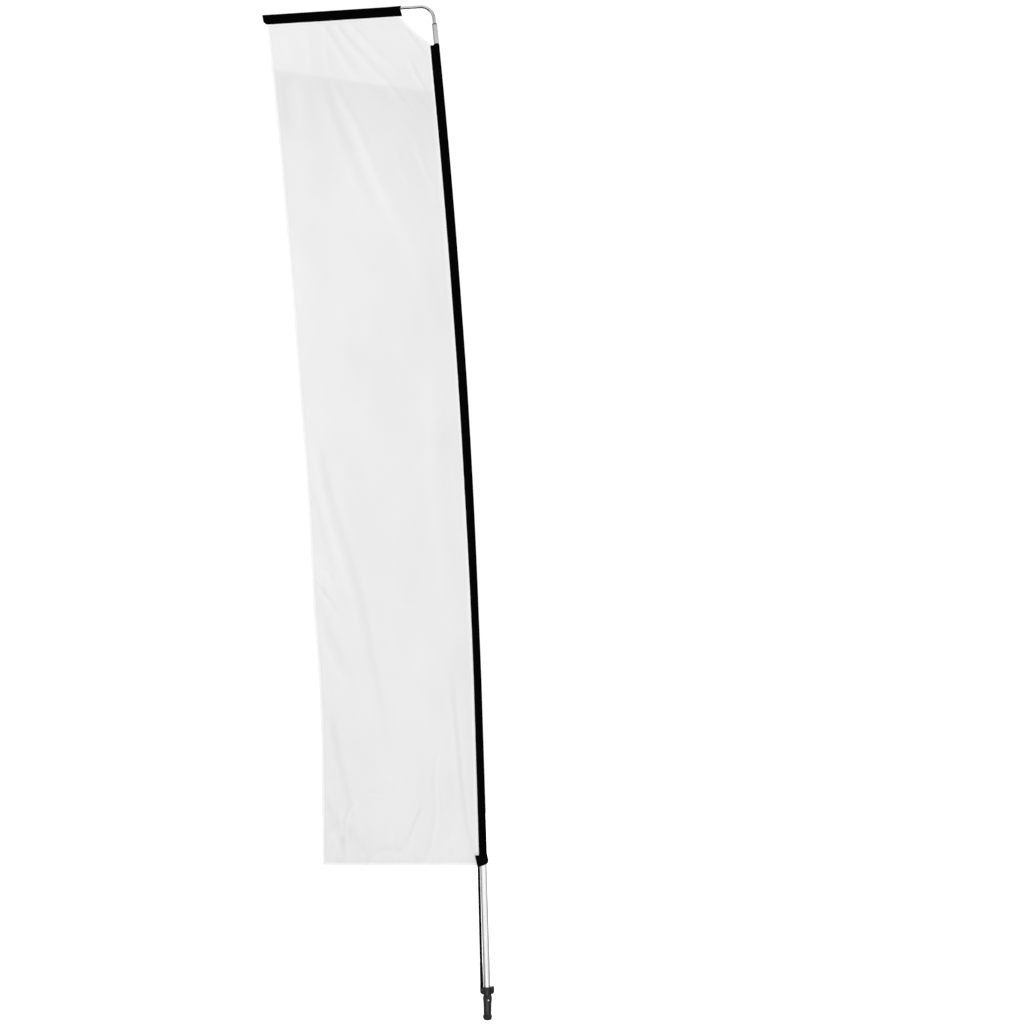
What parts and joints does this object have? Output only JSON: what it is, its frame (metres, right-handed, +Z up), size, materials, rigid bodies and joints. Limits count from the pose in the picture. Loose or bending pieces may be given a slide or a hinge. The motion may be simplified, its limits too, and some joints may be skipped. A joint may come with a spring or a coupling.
{
  "type": "feather flag with pole",
  "caption": "Tall narrow banner on a bowed telescopic pole with a bent top arm, tensioned by an elastic cord, turning on a base's spigot.",
  "frame": {"origin": "centre of the coupling's foot, on the axis of the base's spigot", "axes": "+Z up along the spigot's axis; the banner lies towards -X of the pole; -Y is the front of the banner"},
  "size_m": [0.9154, 0.0364, 3.9996],
  "materials": {
    "aluminium_tube": "drawn and clear anodised, fine lengthwise brushing",
    "polished_arm": "polished",
    "button_steel": "bright plated",
    "spring_steel": "spring temper",
    "black_plastic": "fine moulded texture",
    "natural_plastic": "natural acetal",
    "black_fabric": "plain-woven polyester, matt",
    "white_fabric": "warp-knitted flag polyester, faint sheen",
    "elastic_cord": "braided polyester over rubber"
  },
  "bodies": {
    "spindle": {"spigot_liner": "black_plastic"},
    "mast": {"thrust_washer": "black_plastic", "coupling": "black_plastic", "hook_collar": "black_plastic", "cord_stop": "black_plastic", "tension_cord": "elastic_cord", "lower_tube": "aluminium_tube", "lower_mouth_collar": "black_plastic"},
    "button": {"snap_button": "button_steel", "button_leaf": "spring_steel"},
    "upper_mast": {"middle_tube": "aluminium_tube", "lower_lock_core": "black_plastic", "lower_lock_ring": "natural_plastic", "middle_mouth_collar": "black_plastic", "upper_tube": "aluminium_tube", "middle_lock_core": "black_plastic", "middle_lock_ring": "natural_plastic", "arm_socket_bush": "black_plastic", "pole_sleeve": "black_fabric", "tack_patch": "black_fabric", "flag_panel": "white_fabric"},
    "arm": {"top_arm": "polished_arm", "arm_foot_plug": "black_plastic", "arm_tip_cap": "black_plastic", "arm_sleeve": "black_fabric"}
  },
  "joints": [
    {"name": "wind_swivel", "type": "hinge", "parent": "spindle", "child": "mast", "pos_m": [0, 0, 0.027], "axis": [0, 0, 1], "continuous": true},
    {"name": "button_press", "type": "slide", "parent": "mast", "child": "button", "axis": [-0.257, 0.9664, -0.0077], "range_m": [0, 0.003], "stiffness_N_per_m": 800, "springref_m": -0.002},
    {"name": "mast_slide", "type": "slide", "parent": "mast", "child": "upper_mast", "axis": [-0.03, 0, 0.9996], "range_m": [-0.25, 0], "deforming": ["tension_cord"]},
    {"name": "arm_swivel", "type": "hinge", "parent": "upper_mast", "child": "arm", "pos_m": [-0.20881, 0, 3.92325], "axis": [-0.1009, 0, 0.9949], "range_deg": [-12, 12]}
  ]
}
